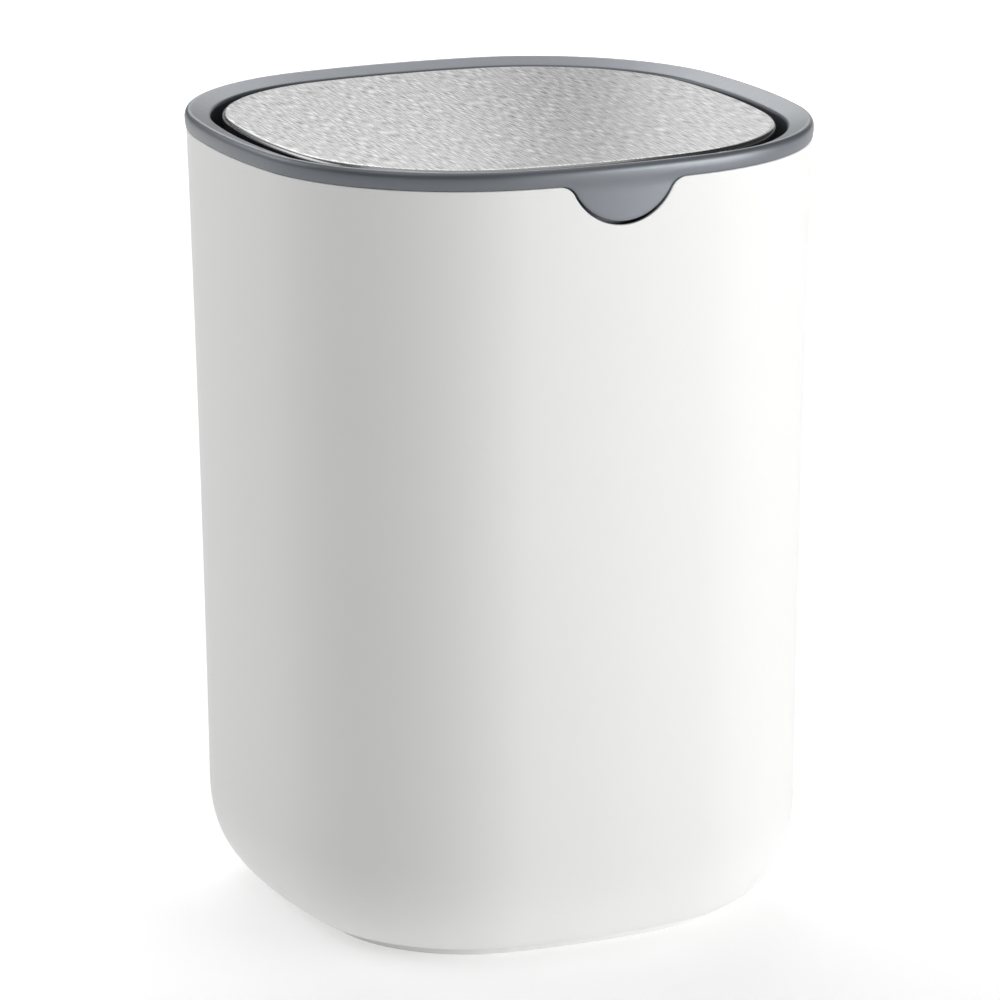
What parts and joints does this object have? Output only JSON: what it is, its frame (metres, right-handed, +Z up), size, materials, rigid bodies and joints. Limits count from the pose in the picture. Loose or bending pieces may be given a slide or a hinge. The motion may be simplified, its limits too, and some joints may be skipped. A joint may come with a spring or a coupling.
{
  "type": "desktop trash can",
  "caption": "Small rounded-square bin with a lift-off rim that has a front finger tab, and a flat counterweighted lid that swings on side pins.",
  "frame": {"origin": "on the floor, under the middle of the body", "axes": "+Z up, -Y towards the front with the finger tab, +X to the right seen from the front; the lid swings about X"},
  "size_m": [0.17, 0.17, 0.2314],
  "materials": {
    "body_plastic": "white moulded plastic, matt",
    "rim_plastic": "blue-grey moulded plastic, satin",
    "cover_steel": "stainless steel, brushed front to back",
    "carrier_plastic": "near-black moulded plastic, satin",
    "bar_steel": "plain cut steel bar",
    "pin_steel": "turned steel",
    "screw_steel": "zinc-plated steel",
    "bush_plastic": "natural acetal",
    "bonding_foam": "thin double-sided foam",
    "pad_rubber": "grey soft rubber, matt"
  },
  "bodies": {
    "bin": {"bin_body": "body_plastic", "foot_pad_1": "pad_rubber", "foot_pad_2": "pad_rubber", "foot_pad_3": "pad_rubber", "foot_pad_4": "pad_rubber"},
    "rim": {"rim_frame": "rim_plastic", "pivot_bush_left": "bush_plastic", "pivot_bush_right": "bush_plastic"},
    "lid": {"lid_cover": "cover_steel", "lid_tray": "carrier_plastic", "lid_underside": "carrier_plastic", "counterweight_bar": "bar_steel", "pivot_pin_left": "pin_steel", "pivot_pin_right": "pin_steel", "cover_pad_1": "bonding_foam", "cover_pad_2": "bonding_foam", "cover_pad_3": "bonding_foam", "cover_pad_4": "bonding_foam", "underside_screw_1": "screw_steel", "underside_screw_2": "screw_steel", "underside_screw_3": "screw_steel", "underside_screw_4": "screw_steel"}
  },
  "joints": [
    {"name": "rim_lift", "type": "slide", "parent": "bin", "child": "rim", "axis": [0, 0, 1], "range_m": [0, 0.15]},
    {"name": "lid_swing", "type": "hinge", "parent": "rim", "child": "lid", "pos_m": [0, 0, 0.22106], "axis": [1, 0, 0], "range_deg": [-75, 75]}
  ]
}
